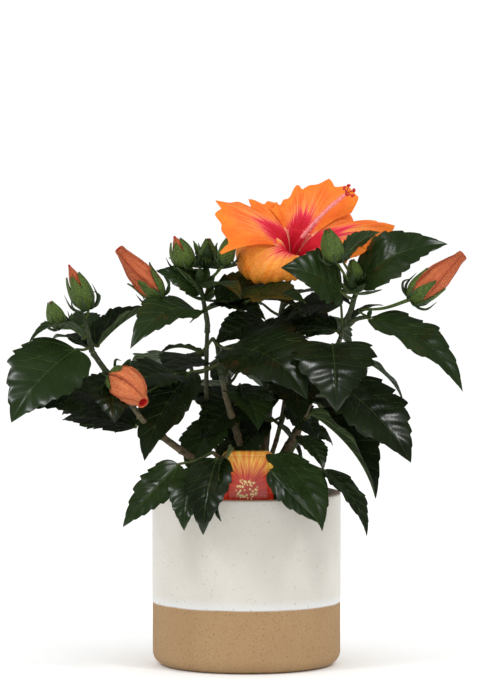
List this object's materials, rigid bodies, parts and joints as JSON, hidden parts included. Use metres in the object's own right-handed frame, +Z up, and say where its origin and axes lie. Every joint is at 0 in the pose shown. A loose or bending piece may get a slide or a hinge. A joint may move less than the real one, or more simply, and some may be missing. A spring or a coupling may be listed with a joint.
{
  "type": "potted hibiscus shrub",
  "caption": "A young hibiscus shrub with glossy dark leaves, an orange bloom with a red throat and swelling buds, in a straight ceramic pot with a bare tan foot.",
  "frame": {"origin": "centre of the pot's flat underside", "axes": "+Z up, +X to the right and -Y towards the viewer, the side that the bloom faces"},
  "size_m": [0.3483, 0.2471, 0.3756],
  "materials": {
    "pot_ceramic": "off-white speckled glaze over a bare sandy foot",
    "soil": "moist dark potting soil",
    "label_card": "printed card, yellow above and red below",
    "bark": "thin brown bark, green near the tips",
    "leaves": "glossy dark green leaves with paler veins",
    "petals": "soft orange petals with a crimson throat",
    "bud_petals": "furled salmon orange petals in green calyces"
  },
  "bodies": {
    "root": {"bloom": "petals", "bough_back_left": "bark", "bough_back_right": "bark", "bough_back_top": "bark", "bough_bloom": "bark", "bough_centre": "bark", "bough_centre_top": "bark", "bough_left": "bark", "bough_left_upper": "bark", "bough_right": "bark", "bough_right_upper": "bark", "bough_thin": "bark", "bud_left_front": "bud_petals", "bud_left_top": "bud_petals", "bud_right": "bud_petals", "leaves_back_left": "leaves", "leaves_back_low": "leaves", "leaves_back_right": "leaves", "leaves_back_top": "leaves", "leaves_centre": "leaves", "leaves_centre_top": "leaves", "leaves_left_hanging": "leaves", "leaves_left_low": "leaves", "leaves_left_tip": "leaves", "leaves_left_top": "leaves", "leaves_middle_left": "leaves", "leaves_middle_right": "leaves", "leaves_right": "leaves", "leaves_right_hanging": "leaves", "leaves_right_low": "leaves", "leaves_right_middle": "leaves", "leaves_right_top": "leaves", "plant_label": "label_card", "pot": "pot_ceramic", "soil": "soil", "trunk": "bark"}
  },
  "joints": []
}
